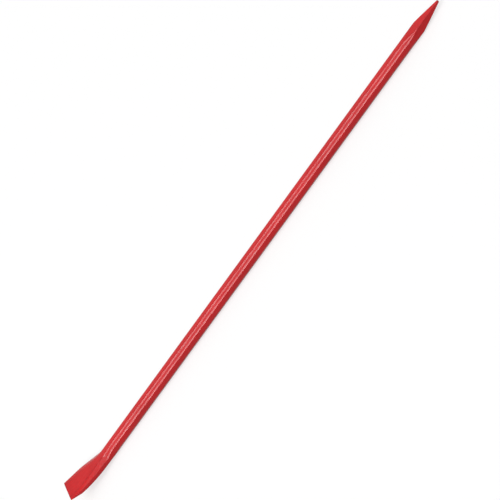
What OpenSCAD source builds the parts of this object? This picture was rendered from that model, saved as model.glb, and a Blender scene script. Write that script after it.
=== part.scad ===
// Digging bar of rolled octagonal steel, forged to a bent chisel at one end and to a point at the other.
// The bar lies along X, with the chisel at the low end and the point at the high end.
// Its lower flat rests on Z = 0, the blade bends up from it, and X = 0 is the middle of its length.

/* [Bar stock] */
// Width of the octagonal stock across its flats
across_flats = 30; // [24:0.5:40]
// Radius of the stock's rolled corners
corner_radius = 3; // [0.5:0.1:5]
// Length over all, from the cutting edge to the tip of the point
overall_length = 1500; // [900:10:2000]

/* [Chisel end] */
// Length of the forged chisel end, measured along its bend
chisel_length = 165.5; // [140:0.5:240]
// Width of the blade at its cutting edge
edge_width = 58.5; // [40:0.5:90]
// Length of blade with parallel sides behind the cutting edge
edge_land = 32.5; // [5:0.5:60]
// Thickness of the blade where the bevel starts
blade_thickness = 10.9; // [6:0.1:16]
// Length of stock from the seam to where the drawing down starts
draw_start = 21; // [0:1:40]
// Length of the bevel ground on the underside
bevel_length = 27.5; // [10:0.5:50]
// Thickness left at the cutting edge
edge_thickness = 2.9; // [1.5:0.1:5]
// Length of stock from the seam to where the slanted flats start to run out
slant_start = 38; // [0:1:60]
// Length over which the slanted flats run out
slant_run = 122; // [40:1:140]
// Share of a slanted flat that is left beside the cutting edge
slant_left_share = 0.4; // [0.2:0.05:1]
// Angle by which the blade bends up
bend_angle = 12.6; // [2:0.1:30]
// Length of stock from the seam to where the bend starts
bend_start = 20; // [0:1:50]
// Length of the bend along its curve
bend_length = 67; // [40:1:110]

/* [Point end] */
// Length of the forged point
point_length = 123; // [80:1:200]
// Width of the square tip
tip_width = 4.6; // [4:0.1:12]
// Width of the bevel round the end of the tip
tip_break = 1.2; // [0.5:0.1:1.8]
// Length of stock from the seam to where the upright flats start to close in
side_start = 13; // [0:1:30]
// Extra width at the middle of the point that its rounded profile leaves
crown = 0.6; // [0:0.1:2]
// Width of the small bevel along the four ridges of the point
ridge_break = 0.6; // [0.3:0.1:1.5]
// Distance by which the slanted flats swell out as the point is drawn
swell = 0.6; // [0:0.1:1.5]

/* [Hidden] */

// Red enamel over the whole bar
enamel = [0.78, 0.18, 0.19];

// An octagon's sides, the turn from one to the next, and the share that it cuts off a square's side
sides = 8;
side_turn = 360 / sides;
corner_cut_share = 1 - cos(side_turn);

// Steps in a rounded corner, along the forged chisel, along its bevel and along the point
corner_steps = 4;
chisel_steps = 36;
bevel_steps = 5;
point_steps = 24;

// Most of the blade's thickness that one slanted flat may take up
slant_most_share = 0.45;
// Share of the point's length over which the slanted flats swell
swell_share = 0.6;

axis_height = across_flats / 2;
flat_half = (1 - 2 * corner_cut_share) * axis_height;
bevel_start = chisel_length - bevel_length;
bend_end = bend_start + bend_length;
bend_radius = bend_length / (bend_angle * PI / 180);

// How far the chisel reaches along X from its seam with the shank, to the lower side of its edge
edge_turn = bend_turn(chisel_length);
edge_underside = blade_thickness / 2 - edge_thickness;
chisel_reach = chisel_centre(chisel_length)[0] - edge_underside * sin(edge_turn);

chisel_seam = chisel_reach - overall_length / 2;
point_seam = overall_length / 2 - point_length;
shank_length = point_seam - chisel_seam;

// Cross-section of the stock: an octagon about the bar's axis, with a flat below and rounded corners
stock = [for (i = [0:sides - 1])
    let (
        turn = i * side_turn,
        middle = turn + side_turn / 2,
        centre = (axis_height - corner_radius) / cos(side_turn / 2) * [cos(middle), sin(middle)]
    )
    for (j = [0:corner_steps])
        let (at = turn + side_turn * j / corner_steps)
        centre + corner_radius * [cos(at), sin(at)]];

// Position between two places as a share, straight or eased at both ends
function ramp(from, to, at) = max(0, min(1, (at - from) / (to - from)));
function ease(from, to, at) = let (t = ramp(from, to, at)) t * t * (3 - 2 * t);
function mix(first, last, t) = first + (last - first) * t;

// The stock's cross-section hammered to a width and a height, with its slanted flats cut to a new size
function stretch(v, half, cut) =
    sign(v) * lookup(abs(v), [[0, 0], [flat_half, half - cut], [axis_height, half]]);
function hammered(width, height, side_cut, face_cut) =
    [for (p = stock) [stretch(p[0], width / 2, side_cut), stretch(p[1], height / 2, face_cut)]];

// The chisel at a distance along its bend from the seam
function chisel_width(at) = mix(across_flats, edge_width, ease(0, chisel_length - edge_land, at));
function drawn_thickness(at) = mix(across_flats, blade_thickness, ramp(draw_start, bevel_start, at));
function ground_off(at) = (blade_thickness - edge_thickness) * ramp(bevel_start, chisel_length, at);
function slant_share(at) =
    corner_cut_share * mix(1, slant_left_share, ease(slant_start, slant_start + slant_run, at));

// The bend is an arc with a straight tail
function bend_turn(at) = bend_angle * ramp(bend_start, bend_end, at);
function chisel_centre(at) =
    let (turn = bend_turn(at), tail = max(0, at - bend_end))
    [min(at, bend_start) + bend_radius * sin(turn) + tail * cos(turn),
     bend_radius * (1 - cos(turn)) + tail * sin(turn)];

// One ring round the chisel, square to the bend, with the bevel taken off its underside
function chisel_ring(at) =
    let (
        turn = bend_turn(at),
        centre = chisel_centre(at),
        width = chisel_width(at),
        drawn = drawn_thickness(at),
        thickness = drawn - ground_off(at),
        raise = ground_off(at) / 2,
        side_cut = slant_share(at) * width,
        face_cut = min(slant_most_share * thickness, slant_share(at) * drawn)
    )
    [for (p = hammered(width, thickness, side_cut, face_cut))
        [chisel_seam - centre[0] + (p[1] + raise) * sin(turn),
         p[0],
         axis_height + centre[1] + (p[1] + raise) * cos(turn)]];

// One ring round the point: the drawn flats close in, and the slanted flats run out into its ridges
function point_width(from, at) =
    let (t = ramp(from, point_length, at))
    mix(across_flats, tip_width, t) + crown * sin(180 * t);
function slant_distance(at) =
    across_flats / 2 + swell * sin(180 * ramp(0, swell_share * point_length, at));
function point_ring(at, inset = 0) =
    let (
        width = point_width(side_start, at) - 2 * inset,
        height = point_width(0, at) - 2 * inset,
        run_out = (width + height) / 2 - sqrt(2) * slant_distance(at),
        cut = min(corner_cut_share * height, max(ridge_break, run_out))
    )
    [for (p = hammered(width, height, cut, cut)) [point_seam + at, p[0], axis_height + p[1]]];

// Skin over a row of rings that runs towards +X, closed at both ends
module loft(rings) {
    n = len(rings[0]);
    last = len(rings) - 1;
    skin = [for (i = [0:last - 1], j = [0:n - 1])
        let (a = i * n + j, b = i * n + (j + 1) % n)
        each [[a, b, b + n], [a, b + n, a + n]]];
    low_end = [for (j = [0:n - 1]) n - 1 - j];
    high_end = [for (j = [0:n - 1]) last * n + j];
    polyhedron(
        points = [for (ring = rings) each ring],
        faces = [for (face = concat(skin, [low_end, high_end])) [for (k = [len(face) - 1:-1:0]) face[k]]]
    );
}

// Forged end, flattened and flared from the octagon into a bent blade with a bevelled edge
module chisel_end() {
    bevel = [for (i = [bevel_steps:-1:1]) bevel_start + bevel_length * i / bevel_steps];
    forged = [for (i = [chisel_steps:-1:0]) bevel_start * i / chisel_steps];
    color(enamel)
        loft([for (at = concat(bevel, forged)) chisel_ring(at)]);
}

// Plain octagonal stock between the two forged ends
module shank() {
    color(enamel)
        translate([chisel_seam, 0, axis_height])
            rotate([90, 0, 90])
                linear_extrude(shank_length)
                    polygon(stock);
}

// Forged end, drawn from the octagon to a blunt four-sided point
module point_end() {
    drawn = [for (i = [0:point_steps]) (point_length - tip_break) * i / point_steps];
    color(enamel)
        loft(concat([for (at = drawn) point_ring(at)], [point_ring(point_length, tip_break)]));
}

chisel_end();
shank();
point_end();
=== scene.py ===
# %% [markdown]
# # A red digging bar
#
# The bar is one length of rolled octagonal steel. A smith has drawn one end out into a wide,
# slightly bent chisel and the other into a blunt four-sided point, and all of it is painted red.
#
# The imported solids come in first, as a fixed frame. They already have the right sizes, so
# everything below is placed by them: the pieces made here stand where the solids stand, and look
# finer.

# %% Load the frame
import math

import bmesh
import bpy
from mathutils import Matrix, Vector


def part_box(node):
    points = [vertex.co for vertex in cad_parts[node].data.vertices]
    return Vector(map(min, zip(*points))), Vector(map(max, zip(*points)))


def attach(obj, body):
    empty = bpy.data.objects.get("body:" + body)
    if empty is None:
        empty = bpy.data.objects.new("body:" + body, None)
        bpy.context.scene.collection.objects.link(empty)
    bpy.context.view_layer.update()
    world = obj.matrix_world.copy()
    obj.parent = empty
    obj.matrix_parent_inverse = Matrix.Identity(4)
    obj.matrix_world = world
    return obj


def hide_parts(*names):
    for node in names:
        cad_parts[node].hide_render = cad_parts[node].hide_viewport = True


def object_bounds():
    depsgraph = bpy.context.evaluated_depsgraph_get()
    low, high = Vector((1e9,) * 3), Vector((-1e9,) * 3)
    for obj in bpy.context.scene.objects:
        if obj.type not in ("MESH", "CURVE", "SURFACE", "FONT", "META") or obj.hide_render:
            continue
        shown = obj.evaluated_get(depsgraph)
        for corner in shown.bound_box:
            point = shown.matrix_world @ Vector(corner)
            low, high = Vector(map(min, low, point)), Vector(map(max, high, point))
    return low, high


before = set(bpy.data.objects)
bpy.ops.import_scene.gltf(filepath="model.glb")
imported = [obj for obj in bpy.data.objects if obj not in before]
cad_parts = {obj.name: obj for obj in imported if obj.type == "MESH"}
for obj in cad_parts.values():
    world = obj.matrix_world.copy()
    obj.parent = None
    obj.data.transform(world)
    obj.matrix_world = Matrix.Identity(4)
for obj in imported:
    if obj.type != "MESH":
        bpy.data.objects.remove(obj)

cad_low, cad_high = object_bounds()
print("the solids' box in metres:", [round(size, 4) for size in cad_high - cad_low])

# %% [markdown]
# ## The bar's own sizes
#
# Blender works in metres and a smith in millimetres, so one name holds the step between them. The
# frame gives the width of the stock, the two seams where the forging starts, and the width of the
# blade.

# %% Read the stock and the seams from the frame
MM = 0.001

shank_low, shank_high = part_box("shank")
chisel_low, chisel_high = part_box("chisel_end")

across_flats = shank_high.z - shank_low.z
stock_half = across_flats / 2
axis_height = shank_low.z + stock_half
chisel_seam = shank_low.x
point_seam = shank_high.x
shank_length = point_seam - chisel_seam
point_length = cad_high.x - point_seam
edge_width = chisel_high.y - chisel_low.y
print(f"stock {across_flats / MM:.1f} mm across flats, shank {shank_length / MM:.1f} mm long")

# %% [markdown]
# ## The camera
#
# The picture shows the bar from above and to one side, lying across the frame from corner to
# corner, with the point leaning a little towards the lens. Its two sides stay parallel in the
# picture, so the camera stands far away behind a very long lens.
#
# Three angles describe the view: how far the bar leans towards the lens, how far the view is turned
# round the bar from its top, and how steeply the bar climbs across the picture. Two arrows follow
# from them, one to the right of the picture and one up, and these and the line back to the lens
# turn the camera. Its turns could be typed in as well, but then nobody could read the view from
# them.

# %% Turn the view
lean = math.radians(25.91)
turned_from_top = math.radians(53.03)
climb = math.radians(53.92)

along_bar = Vector((1, 0, 0))
bar_face = Vector((0, -math.sin(turned_from_top), math.cos(turned_from_top)))
across_bar = Vector((0, -math.cos(turned_from_top), -math.sin(turned_from_top)))
to_lens = math.sin(lean) * along_bar + math.cos(lean) * bar_face
seen_along = math.cos(lean) * along_bar - math.sin(lean) * bar_face
picture_right = math.cos(climb) * seen_along + math.sin(climb) * across_bar
picture_up = math.sin(climb) * seen_along - math.cos(climb) * across_bar
print("from the bar to the lens:", [round(part, 3) for part in to_lens])

# %% Place the camera
picture_pixels = 500
picture_middle = Vector((picture_pixels / 2, picture_pixels / 2))
bar_middle_pixel = Vector((256.71, 249.56))
lens_length = 1600 * MM
sensor_width = 36 * MM
lens_distance = 49.03

metres_per_pixel = lens_distance * sensor_width / lens_length / picture_pixels
off_centre = (bar_middle_pixel - picture_middle) * metres_per_pixel
bar_middle = Vector((0, 0, axis_height))
looked_at = bar_middle - off_centre.x * picture_right + off_centre.y * picture_up

camera_data = bpy.data.cameras.new("camera")
camera_data.lens = lens_length / MM
camera_data.sensor_width = sensor_width / MM
camera_data.clip_end = 2 * lens_distance
camera = bpy.data.objects.new("camera", camera_data)
turned = Matrix((picture_right, picture_up, to_lens)).transposed().to_4x4()
camera.matrix_world = Matrix.Translation(looked_at + lens_distance * to_lens) @ turned
bpy.context.scene.collection.objects.link(camera)
bpy.context.scene.camera = camera
print(f"camera {lens_distance:.0f} m away, a pixel is {metres_per_pixel / MM:.2f} mm on the bar")

# %% [markdown]
# ## A blank of rolled stock
#
# Octagonal bar leaves the mill with flat sides and soft corners, because the steel never fills the
# corners of the rolls. It could be a cylinder of eight sides, but that has knife edges. Here an
# eight-sided face is pulled out into a prism, and a bevel rounds its eight long edges.
#
# Each rounded corner has only two steps, on purpose. Smooth shading then leans the light on the
# flats a few degrees towards their corners, so they look a little full, as rolled flats do, while
# the outline stays true.

# %% Helpers that roll a bar
SIDES = 8
half_turn = math.pi / SIDES
corner_radius = 3 * MM
corner_steps = 2


def lengthwise_edges(steel, length):
    """The edges that run the whole length of a bar."""
    return [edge for edge in steel.edges
            if abs(edge.verts[0].co.x - edge.verts[1].co.x) > length / 2]


def rolled_bar(length):
    """A closed octagonal bar along the X axis from X = 0, with its long edges rounded."""
    steel = bmesh.new()
    bmesh.ops.create_circle(
        steel, cap_ends=True, segments=SIDES, radius=stock_half / math.cos(half_turn))
    upright = Matrix.Rotation(math.pi / 2, 4, "Y") @ Matrix.Rotation(half_turn, 4, "Z")
    bmesh.ops.transform(steel, matrix=upright, verts=steel.verts)
    pulled = bmesh.ops.extrude_face_region(steel, geom=steel.faces[:])["geom"]
    far_end = [part for part in pulled if isinstance(part, bmesh.types.BMVert)]
    bmesh.ops.translate(steel, vec=(length, 0, 0), verts=far_end)
    bmesh.ops.bevel(
        steel, geom=lengthwise_edges(steel, length), affect="EDGES", offset_type="OFFSET",
        offset=corner_radius * math.tan(half_turn), segments=corner_steps, profile=0.5, material=-1)
    return steel


print(f"stock with {SIDES} flats and corners of {corner_radius / MM:.0f} mm radius")

# %% [markdown]
# Forging needs points to move, so the flats are split into strips and the length into rings. Rings
# can also be cut at chosen places, where a shape turns a corner. Rings packed close everywhere
# would do as well, but a few in the right places are enough and keep those corners sharp.

# %% Helper that cuts a blank
strips_on_flat = 2
cut_tolerance = MM / 1000


def stock_blank(length, ring_gap, extra_rings=()):
    """A rolled bar with rings of points to forge by, that far apart and at the extra places."""
    steel = rolled_bar(length)
    flats = [edge for edge in steel.edges if corner_radius < edge.calc_length() < stock_half]
    bmesh.ops.subdivide_edges(steel, edges=flats, cuts=strips_on_flat - 1, use_grid_fill=True)
    rings = round(length / ring_gap)
    bmesh.ops.subdivide_edges(
        steel, edges=lengthwise_edges(steel, length), cuts=rings - 1, use_grid_fill=True)
    for place in extra_rings:
        everything = steel.verts[:] + steel.edges[:] + steel.faces[:]
        bmesh.ops.bisect_plane(
            steel, geom=everything, dist=cut_tolerance, plane_co=(place, 0, 0), plane_no=(1, 0, 0))
    return steel


print(f"each flat of a blank is split into {strips_on_flat} strips")

# %% [markdown]
# ## What the paint will need to know
#
# Paint draws thin over a corner and rubs off first at the working end, and forged steel has a
# rougher skin than rolled steel. Once the steel is bent and drawn, its corners are hard to find
# again. So each point of the straight blank keeps two numbers: how near it lies to one of the eight
# corners or to the end, and how far it is into the forging. The enamel reads them later.

# %% Helper that marks the points
corner_reach = math.radians(6)
end_reach = 4 * MM
hammer_fade = 40 * MM


def mark_points(steel, forged_length=0):
    """Keeps each point's nearness to a corner or end, and its share of the hammer's work."""
    corner_layer = steel.verts.layers.float.new("corner")
    hammered_layer = steel.verts.layers.float.new("hammered")
    for point in steel.verts:
        round_axis = math.atan2(point.co.z, point.co.y)
        from_corner = round_axis % (2 * half_turn) - half_turn
        near_corner = math.exp(-(from_corner / corner_reach) ** 2)
        near_end, hammered_share = 0, 0
        if forged_length:
            near_end = math.exp(-((forged_length - point.co.x) / end_reach) ** 2)
            hammered_share = min(1, point.co.x / hammer_fade)
        point[corner_layer] = max(near_corner, near_end)
        point[hammered_layer] = hammered_share


print(f"the forged skin fades in over {hammer_fade / MM:.0f} mm from a seam")

# %% [markdown]
# ## From blank to piece
#
# Every piece ends in the same way: its faces are turned outwards and shaded smooth, the hidden seam
# face gets a hard border so that its shading doesn't leak onto the bar, and the object goes into
# the scene as a rider on the bar's only body, in place of the solid that it stands for.

# %% Helper that finishes a piece
seam_tolerance = MM / 100


def finish_piece(steel, name, node, seams):
    """Makes the blank an object that stands for a solid."""
    bmesh.ops.recalc_face_normals(steel, faces=steel.faces)
    for face in steel.faces:
        face.smooth = True
    for edge in steel.edges:
        middle = (edge.verts[0].co.x + edge.verts[1].co.x) / 2
        on_seam = any(abs(middle - seam) < seam_tolerance for seam in seams)
        if on_seam and len(edge.link_faces) == 2:
            edge.smooth = False
    mesh = bpy.data.meshes.new(name)
    steel.to_mesh(mesh)
    steel.free()
    piece = bpy.data.objects.new(name, mesh)
    bpy.context.scene.collection.objects.link(piece)
    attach(piece, "root")
    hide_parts(node)
    print(f"{name}: {len(mesh.vertices)} points, {len(mesh.polygons)} faces")
    return piece


# %% [markdown]
# ## The shank
#
# Between the two forged ends the stock stays as it was rolled. It needs few rings, because it only
# has to be carried from one seam to the other and lifted onto its lower flat.

# %% Make the shank
rolled_ring_gap = 100 * MM

shank_steel = stock_blank(shank_length, rolled_ring_gap)
mark_points(shank_steel)
bmesh.ops.translate(shank_steel, vec=(chisel_seam, 0, axis_height), verts=shank_steel.verts)
shank = finish_piece(shank_steel, "rolled_shank", "shank", [chisel_seam, point_seam])

# %% [markdown]
# ## How forging moves the section
#
# Hammering flattens the octagon: its height goes down, its width goes out, and the slanted flats
# grow wide and low until they fade into the broad faces. A modifier could taper the whole bar at
# once, but it wouldn't know a flat from a slant, so every point of a blank is moved by its own
# place instead.
#
# Two numbers on each axis describe the new section: how far the outside now lies from the middle,
# and how much of it the slanted flat takes up. A point keeps its share of the flat or of the slant
# that it is on. Close to an end that is rounded over, the outside draws in.

# %% Helpers that move a section
flat_share = math.tan(half_turn)
flat_half = stock_half * flat_share
corner_cut_share = (1 - flat_share) / 2


def stretch(place, half, cut):
    """Moves a place on the stock's half width to a half width that ends in a slant of that size."""
    size = abs(place)
    if size <= flat_half:
        moved = size * (half - cut) / flat_half
    else:
        moved = half - cut * (stock_half - size) / (stock_half - flat_half)
    return math.copysign(moved, place)


def round_over(to_end, radius):
    """How far a surface draws in, close to an end that is rounded over."""
    into = min(radius, max(0, radius - to_end))
    return radius - math.sqrt(radius ** 2 - into ** 2)


print(f"a flat is {2 * flat_half / MM:.1f} mm wide before its corners are rounded")

# %% [markdown]
# Along the bar, the sizes run from one value to another. A grinder works in straight lines and a
# hammer in soft ones, so a share runs straight, or eased over its whole length, or straight with
# rounded corners.

# %% Helpers that run from one size to another
def ramp(start, end, at):
    """Position between two places as a share, held at 0 before them and at 1 after them."""
    return min(1, max(0, (at - start) / (end - start)))


def ease(start, end, at):
    """The same share, with a soft start and a soft end."""
    share = ramp(start, end, at)
    return share * share * (3 - 2 * share)


def ramp_area(start, end, at):
    """Area under the straight share, up to a place."""
    inside = min(end, max(start, at))
    return (inside - start) ** 2 / (end - start) / 2 + max(0, at - end)


def soft_ramp(start, end, blend, at):
    """The straight share with its corners rounded, from that far before them to as far after."""
    area = ramp_area(start, end, at + blend) - ramp_area(start, end, at - blend)
    return area / (2 * blend)


def mix(first, last, share):
    """The value that lies a share of the way from the first to the last."""
    return first + (last - first) * share


quarter = 1 / 4
print("a quarter of the way, straight and eased:", ramp(0, 1, quarter), ease(0, 1, quarter))

# %% [markdown]
# ## The chisel
#
# The smith draws the end down to about a third of its thickness and lets it spread to about twice
# its width. The underside is then ground to a bevel that leaves a narrow edge. The same order is
# followed for each point of a blank: find the width and the thickness at its place along the blade,
# and move the section.
#
# The two upper slanted flats keep the stock's slope into the bend and flatten only after that. The
# bright lines of the shank therefore run on onto the bend and end there, and the slanted flat goes
# on over the root of the blade as a soft tongue.

# %% Sizes of the chisel
chisel_length = 165.5 * MM
edge_land = 32.5 * MM
flare_end = chisel_length - edge_land

blade_thickness = 10.9 * MM
draw_start = 21 * MM
draw_blend = 14 * MM

bevel_length = 27.5 * MM
bevel_start = chisel_length - bevel_length
edge_thickness = 2.9 * MM
edge_rounding = 0.6 * MM

slant_start = 38 * MM
slant_run = 122 * MM
slant_end = slant_start + slant_run
slant_left_share = 0.4
slant_most_share = 0.45
steep_until = 30 * MM
steep_gone = 64 * MM
print(f"blade {edge_width / MM:.1f} mm wide, drawn from {across_flats / MM:.1f} mm "
      f"to {blade_thickness / MM:.1f} mm and ground to {edge_thickness / MM:.1f} mm")


# %% Helper that forges a section of the chisel
def chisel_section(at, y, z):
    """Where a point of the stock's section goes, across and up, at a distance along the blade."""
    width = mix(across_flats, edge_width, ease(0, flare_end, at))
    drawn = mix(across_flats, blade_thickness, soft_ramp(draw_start, bevel_start, draw_blend, at))
    ground = (blade_thickness - edge_thickness) * ramp(bevel_start, chisel_length, at)
    thickness = drawn - ground
    inset = round_over(chisel_length - at, edge_rounding)

    slant = corner_cut_share * mix(1, slant_left_share, ease(slant_start, slant_end, at))
    slant_base = drawn
    if z > 0:
        slant_base = mix(width, drawn, ease(steep_until, steep_gone, at))
    face_cut = min(slant * slant_base, slant_most_share * (thickness - 2 * inset))

    across = stretch(y, width / 2 - inset, slant * width)
    up = stretch(z, thickness / 2 - inset, face_cut)
    return across, up + ground / 2


halfway = chisel_length / 2
half_width, half_rise = chisel_section(halfway, stock_half, stock_half)
print(f"halfway along, the blade is {2 * half_width / MM:.1f} by {2 * half_rise / MM:.1f} mm")

# %% [markdown]
# The blade is bent up a little, so that it lifts when the bar is used as a lever. The bend is an
# arc with a straight tail. A modifier could bend it too, but the bend and the forging are measured
# along the same blade, so each point is carried round straight after it is forged.

# %% Helper that bends the blade
bend_angle = math.radians(12.6)
bend_start = 20 * MM
bend_length = 67 * MM
bend_end = bend_start + bend_length
bend_radius = bend_length / bend_angle


def round_bend(at, up):
    """Where a point goes along and up, when the straight blade is carried round its bend."""
    turn = bend_angle * ramp(bend_start, bend_end, at)
    tail = max(0, at - bend_end)
    along = min(at, bend_start) + bend_radius * math.sin(turn) + tail * math.cos(turn)
    rise = bend_radius * (1 - math.cos(turn)) + tail * math.sin(turn)
    return along - up * math.sin(turn), rise + up * math.cos(turn)


print(f"the blade bends by {math.degrees(bend_angle):.1f} degrees on {bend_radius / MM:.0f} mm")

# %% [markdown]
# A hammer leaves the drawn faces a little uneven, on the chisel and on the point alike. Two slow
# waves that cross each other sink the surface by up to about a tenth of a millimetre, fading out
# towards the seam and the end. They only take steel away, so a piece stays inside the solid's box.

# %% Helper that leaves the hammer's marks
mark_depth = 0.12 * MM
mark_length = 31 * MM
mark_width = 23 * MM


def hammer_mark(at, side, whole):
    """How deep the hammer has left the surface, at a place on a forged end of that length."""
    along_wave = math.sin(2 * math.pi * at / mark_length + side / mark_width)
    across_wave = math.cos(2 * math.pi * side / mark_width)
    fade = math.sin(math.pi * at / whole) ** 2
    return mark_depth * (1 + along_wave * across_wave) / 2 * fade


print(f"hammer marks about {mark_length / MM:.0f} mm long and up to {mark_depth / MM:.2f} mm deep")

# %% [markdown]
# With these helpers the blank is forged point by point. Its rings lie close together, and extra
# ones stand at the start of the bevel, close beside it, and where the cutting edge is rounded over.

# %% Make the chisel
forged_ring_gap = 2 * MM
rounding_shares = (0.05, 0.2, 0.45, 0.75, 1)

bevel_rings = [bevel_start - edge_rounding, bevel_start, bevel_start + edge_rounding]
edge_rings = [chisel_length - edge_rounding * share for share in rounding_shares]
chisel_steel = stock_blank(chisel_length, forged_ring_gap, bevel_rings + edge_rings)
mark_points(chisel_steel, chisel_length)
for point in chisel_steel.verts:
    at, y, z = point.co
    across, up = chisel_section(at, y, z)
    up -= hammer_mark(at, across, chisel_length) * z / stock_half
    along, rise = round_bend(at, up)
    point.co = chisel_seam - along, across, axis_height + rise
chisel = finish_piece(chisel_steel, "forged_chisel", "chisel_end", [chisel_seam])

# %% [markdown]
# ## The point
#
# At the other end the four main flats are drawn in towards each other, first the upper and lower
# ones and then the upright ones, until the slanted flats have run out between them and only four
# ridges are left. A cone would be quicker to make, but it would have no flats to run on from the
# bar.
#
# The flats stay a little full along their length, and the tip is left blunt, because a needle would
# bend.

# %% Helpers that draw a section of the point
tip_width = 4.6 * MM
tip_rounding = 1.2 * MM
side_start = 21 * MM
crown = 0.6 * MM
ridge_width = 0.6 * MM
swell = 0.6 * MM
swell_share = 0.6
swell_end = swell_share * point_length


def drawn_width(start, at):
    """Width between two opposite flats of the point, which start to close in at that place."""
    share = ramp(start, point_length, at)
    return mix(across_flats, tip_width, share) + crown * math.sin(math.pi * share)


def point_section(at, y, z):
    """Where a point of the stock's section goes, across and up, at a distance along the point."""
    inset = round_over(point_length - at, tip_rounding)
    width = drawn_width(side_start, at) - 2 * inset
    height = drawn_width(0, at) - 2 * inset
    slant_distance = stock_half + swell * math.sin(math.pi * ramp(0, swell_end, at))
    run_out = (width + height) / 2 - math.sqrt(2) * slant_distance
    cut = min(corner_cut_share * height, max(ridge_width, run_out))
    return stretch(y, width / 2, cut), stretch(z, height / 2, cut)


print(f"the point is {point_length / MM:.0f} mm long and ends {tip_width / MM:.1f} mm wide")

# %% Make the point
tip_rings = [point_length - tip_rounding * share for share in rounding_shares]
point_steel = stock_blank(point_length, forged_ring_gap, tip_rings)
mark_points(point_steel, point_length)
for point in point_steel.verts:
    at, y, z = point.co
    across, up = point_section(at, y, z)
    face_mark = hammer_mark(at, across, point_length) * z / stock_half
    side_mark = hammer_mark(at, up, point_length) * y / stock_half
    point.co = point_seam + at, across - side_mark, axis_height + up - face_mark
forged_point = finish_piece(point_steel, "forged_point", "point_end", [point_seam])

# %% [markdown]
# ## Nodes for paint
#
# A material is a tree of nodes, and most of them are added in the same few ways: noise of a real
# size, a value carried from one span to another, two values worked into one, and a mix of two
# colours. Short helpers keep the paint itself readable. Noise stays close to its middle, so its
# usual span is kept here, to be spread over the one that is wanted.

# %% Helpers that add noise and spans
noise_span = (0.3, 0.7)


def add_node(tree, kind, inputs=(), **settings):
    """Adds a shader node, sets its options and fills in its named inputs."""
    node = tree.nodes.new(kind)
    for name, value in settings.items():
        setattr(node, name, value)
    for name, value in dict(inputs).items():
        node.inputs[name].default_value = value
    return node


def add_noise(tree, place, size, detail):
    """Noise with lumps of about that size, in metres."""
    noise = add_node(tree, "ShaderNodeTexNoise", {"Scale": 1 / size, "Detail": detail})
    tree.links.new(place, noise.inputs["Vector"])
    return noise.outputs["Fac"]


def add_scaled(tree, value, wanted, given=(0, 1)):
    """A value from the given span, carried over to the wanted one and held at its ends."""
    spans = {"From Min": given[0], "From Max": given[1], "To Min": wanted[0], "To Max": wanted[1]}
    scaled = add_node(tree, "ShaderNodeMapRange", spans)
    tree.links.new(value, scaled.inputs["Value"])
    return scaled.outputs["Result"]


print(f"noise mostly lies between {noise_span[0]} and {noise_span[1]}")


# %% Helpers that join values and colours
def add_math(tree, operation, first, second):
    """Two values worked into one."""
    result = add_node(tree, "ShaderNodeMath", operation=operation)
    tree.links.new(first, result.inputs[0])
    tree.links.new(second, result.inputs[1])
    return result.outputs["Value"]


def add_colour_mix(tree, share, first, last):
    """A colour between two others. Each of them is a plain colour or comes from another node."""
    mixed = add_node(tree, "ShaderNodeMix", data_type="RGBA")
    sockets = {socket.name: socket for socket in mixed.inputs if socket.enabled}
    tree.links.new(share, sockets["Factor"])
    for socket, colour in ((sockets["A"], first), (sockets["B"], last)):
        if isinstance(colour, bpy.types.NodeSocket):
            tree.links.new(colour, socket)
        else:
            socket.default_value = colour
    return next(socket for socket in mixed.outputs if socket.enabled)


print("helpers for paint: noise, spans, sums and mixed colours")

# %% [markdown]
# ## Red enamel: colour
#
# The bar is dipped or brushed in a half-glossy red enamel. It isn't one flat colour. It is a little
# deeper where it lies thick, and it draws thin and darker over the corners, where the dark steel
# shows through.
#
# The change of depth has two parts. One is slow and cloudy. The other is drawn out along the bar,
# because the brush and the running paint both follow it. Both are noise that is read in the bar's
# own coordinates, so they run on across the two seams.

# %% Start the enamel with its noises
drift_size = 60 * MM
skin_size = 6 * MM
stroke_size = 3 * MM
stroke_stretch = 12

enamel = bpy.data.materials.new("red_enamel")
enamel.use_nodes = True
tree = enamel.node_tree
paint = tree.nodes["Principled BSDF"]
place = add_node(tree, "ShaderNodeTexCoord").outputs["Object"]
squeezed = add_node(tree, "ShaderNodeVectorMath", operation="MULTIPLY")
squeezed.inputs[1].default_value = (1 / stroke_stretch, 1, 1)
tree.links.new(place, squeezed.inputs[0])

drift = add_noise(tree, place, drift_size, detail=2)
skin = add_noise(tree, place, skin_size, detail=4)
strokes = add_noise(tree, squeezed.outputs["Vector"], stroke_size, detail=3)
print(f"enamel: clouds of {drift_size / MM:.0f} mm, strokes {stroke_size / MM:.0f} mm wide")

# %% [markdown]
# The thin corners come from the number that was kept on each point. A clean dark line would look
# drawn on, so a finer noise breaks it up into spots.

# %% Mix the colour
enamel_red = (0.70, 0.014, 0.017, 1)
enamel_deep = (0.55, 0.010, 0.013, 1)
enamel_thin = (0.33, 0.012, 0.014, 1)
cloud_share = 0.5
spot_span = (0.45, 0.65)
spot_shares = (0.1, 0.8)
corner_span = (0.5, 1)

clouds = add_scaled(tree, drift, (0, cloud_share), noise_span)
brushed = add_scaled(tree, strokes, (0, 1 - cloud_share), noise_span)
depth = add_math(tree, "ADD", clouds, brushed)
body_colour = add_colour_mix(tree, depth, enamel_deep, enamel_red)

corner = add_node(tree, "ShaderNodeAttribute", attribute_name="corner").outputs["Fac"]
spots = add_scaled(tree, skin, spot_shares, spot_span)
on_corner = add_scaled(tree, corner, (0, 1), corner_span)
thin_share = add_math(tree, "MULTIPLY", spots, on_corner)
colour = add_colour_mix(tree, thin_share, body_colour, enamel_thin)
tree.links.new(colour, paint.inputs["Base Color"])
print("enamel colour: clouds and brush strokes between two reds, thin on the corners")

# %% [markdown]
# ## Red enamel: shine and skin
#
# The shine is that of half-glossy paint. One value for all of it would look like moulded plastic,
# so it is a little duller on some brush strokes than on others.

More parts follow.
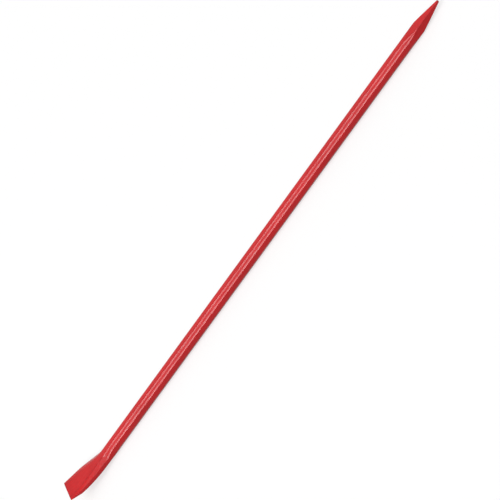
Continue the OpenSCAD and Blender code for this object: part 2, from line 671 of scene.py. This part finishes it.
# %% Add the shine
gloss_level = 0.2
roughness_span = (0.16, 0.23)

paint.inputs["Specular IOR Level"].default_value = gloss_level
roughness = add_scaled(tree, strokes, roughness_span, noise_span)
tree.links.new(roughness, paint.inputs["Roughness"])
print(f"enamel shine: roughness from {roughness_span[0]} to {roughness_span[1]}")

# %% [markdown]
# Under the paint lies the skin of the steel: almost smooth where it was rolled, and covered with
# shallow dents and hammer scale where it was forged. The paint itself keeps faint brush strokes and
# a fine ripple, like the peel of an orange. All of that is far too small to model, so a row of
# bumps tilts the light instead. Each is given as the depth of its steel or paint, and they are laid
# over each other from the coarsest to the finest.

# %% Lay the skins over each other
dent_size = 9 * MM
dent_depth = 0.14 * MM
skin_depth = 0.06 * MM
rolled_skin_share = 0.3
stroke_depth = 0.03 * MM
ripple_size = 1.6 * MM
ripple_depth = 0.02 * MM

hammered = add_node(tree, "ShaderNodeAttribute", attribute_name="hammered").outputs["Fac"]
dents = add_node(
    tree, "ShaderNodeTexVoronoi", {"Scale": 1 / dent_size, "Smoothness": 1}, feature="SMOOTH_F1")
tree.links.new(place, dents.inputs["Vector"])
forged_dents = add_math(tree, "MULTIPLY", dents.outputs["Distance"], hammered)
skin_share = add_scaled(tree, hammered, (rolled_skin_share, 1))
steel_skin = add_math(tree, "MULTIPLY", skin, skin_share)
ripple = add_noise(tree, place, ripple_size, detail=1)

layers = (
    (forged_dents, dent_depth),
    (steel_skin, skin_depth),
    (strokes, stroke_depth),
    (ripple, ripple_depth),
)
below = None
for height, layer_depth in layers:
    bump = add_node(tree, "ShaderNodeBump", {"Strength": 1, "Distance": layer_depth})
    tree.links.new(height, bump.inputs["Height"])
    if below:
        tree.links.new(below, bump.inputs["Normal"])
    below = bump.outputs["Normal"]
tree.links.new(below, paint.inputs["Normal"])

for piece in (shank, chisel, forged_point):
    piece.data.materials.append(enamel)
print("enamel on:", ", ".join(piece.name for piece in (shank, chisel, forged_point)))

# %% [markdown]
# ## Floor
#
# The bar is shown on plain white. A lit floor alone would come out pale grey, so a part of its
# white is its own light, given only to rays from the camera, from gloss and from glass. It lights
# nothing, so the bar isn't brightened by it, and the rest of the floor still takes a shadow.

# %% Mix the floor's white
floor_pale = (0.35, 0.35, 0.35, 1)
floor_own_light = 0.67


def add_seen_directly(tree):
    """A value of 1 for rays from the camera, gloss and glass, and of 0 for rays of light."""
    path = add_node(tree, "ShaderNodeLightPath")
    seen = path.outputs["Is Camera Ray"]
    for name in ("Is Glossy Ray", "Is Transmission Ray"):
        seen = add_math(tree, "MAXIMUM", seen, path.outputs[name])
    return seen


floor_paint = bpy.data.materials.new("pale_floor")
floor_paint.use_nodes = True
floor_tree = floor_paint.node_tree
floor_tree.nodes.remove(floor_tree.nodes["Principled BSDF"])
matt = add_node(floor_tree, "ShaderNodeBsdfDiffuse", {"Color": floor_pale})
own_light = add_node(floor_tree, "ShaderNodeEmission")
both = add_node(floor_tree, "ShaderNodeAddShader")
strength = add_scaled(floor_tree, add_seen_directly(floor_tree), (0, floor_own_light))
floor_tree.links.new(strength, own_light.inputs["Strength"])
floor_tree.links.new(matt.outputs["BSDF"], both.inputs[0])
floor_tree.links.new(own_light.outputs["Emission"], both.inputs[1])
floor_tree.links.new(both.outputs["Shader"], floor_tree.nodes["Material Output"].inputs["Surface"])
print(f"floor: {floor_own_light:.0%} of its white is its own light")

# %% Lay the floor
floor_size = 24
floor_gap = 0.1 * MM

floor_mesh = bpy.data.meshes.new("floor")
sheet = bmesh.new()
bmesh.ops.create_grid(sheet, x_segments=1, y_segments=1, size=floor_size / 2)
bmesh.ops.translate(sheet, vec=(0, 0, cad_low.z - floor_gap), verts=sheet.verts)
sheet.to_mesh(floor_mesh)
sheet.free()
floor_mesh.materials.append(floor_paint)
floor = bpy.data.objects.new("floor", floor_mesh)
bpy.context.scene.collection.objects.link(floor)
print(f"floor {floor_size} m wide, {floor_gap / MM:.1f} mm below the bar")

# %% [markdown]
# ## Studio light: the room
#
# White walls fill in the shadows, and the lens and the gloss of the paint see them as white. If
# they lit the bar as brightly as they look, its shading would be washed out, so the room has two
# strengths. The view transform called Standard shows white as white, without a film's soft
# highlights.

# %% Light the room
room_white = (1, 1, 1, 1)
room_fill = 0.2

world = bpy.data.worlds.new("white_room")
bpy.context.scene.world = world
world.use_nodes = True
room_tree = world.node_tree
walls = room_tree.nodes["Background"]
walls.inputs["Color"].default_value = room_white
room_strength = add_scaled(room_tree, add_seen_directly(room_tree), (room_fill, 1))
room_tree.links.new(room_strength, walls.inputs["Strength"])
bpy.context.scene.view_settings.view_transform = "Standard"
print(f"room: white to look at, and {room_fill:.0%} of that as light")

# %% [markdown]
# ## Studio light: the strip boxes
#
# Two strip boxes hang side by side, high above the bar and in front of it, and run parallel to it.
# The slanted flat that faces the lens mirrors the dark gap between them, and both of its sides,
# which shade a little full, mirror the boxes. That draws the pair of bright lines that run down the
# whole bar.
#
# The lens stands towards the point, so the boxes hang towards the chisel. Seen from so far away
# they lie in nearly the same direction from both ends of the bar, so it is the bend that carries a
# line past the near end of its box and ends it.

# %% Hang the strip boxes
strip_distance = 30
strip_length = 11
strip_width = 3.6


def hang_strip(name, from_top, near_end, power):
    """A strip box along the bar, that many degrees forward of upright, that ends at that X."""
    lamp = bpy.data.lights.new(name, "AREA")
    lamp.shape = "RECTANGLE"
    lamp.size = strip_length
    lamp.size_y = strip_width
    lamp.energy = power
    strip = bpy.data.objects.new(name, lamp)
    turn = math.radians(from_top)
    out = Vector((0, -math.sin(turn), math.cos(turn)))
    shift = Vector((near_end - strip_length / 2, 0, 0))
    strip.location = bar_middle + strip_distance * out + shift
    strip.rotation_euler.x = turn
    strip.visible_camera = False
    bpy.context.scene.collection.objects.link(strip)
    print(f"{name}: {strip_length} m long, {from_top} degrees from the top, {power} W")


hang_strip("upper_strip", from_top=24.7, near_end=-12, power=2550)
hang_strip("front_strip", from_top=47.8, near_end=-8.8, power=2700)

# %% [markdown]
# ## Studio light: the broad boxes
#
# Three broad boxes light the rest: one from the top, one from the front and one from the back, so
# that no side is left dark. They are sun lamps with a wide angle, because they should light the
# whole length alike. None of them stands where a main flat of the shank would mirror it into the
# lens. The top box stands where the slanted flat mirrors it after flattening on the blade, so that
# flat stays a little lighter than the broad face beside it.

# %% Hang the broad boxes
def hang_wide_box(name, towards, angle, energy):
    """A soft box that many degrees wide, so far away that it lights the whole bar alike."""
    lamp = bpy.data.lights.new(name, "SUN")
    lamp.energy = energy
    lamp.angle = math.radians(angle)
    box = bpy.data.objects.new(name, lamp)
    box.rotation_euler = Vector(towards).to_track_quat("Z", "Y").to_euler()
    bpy.context.scene.collection.objects.link(box)
    print(f"{name}: {energy} W per square metre")


hang_wide_box("top_box", towards=(-0.3, 0.05, 0.95), angle=36, energy=0.46)
hang_wide_box("front_box", towards=(0, -0.5, 0.87), angle=44, energy=0.93)
hang_wide_box("back_box", towards=(0.6, 0.75, 0.28), angle=60, energy=0.8)
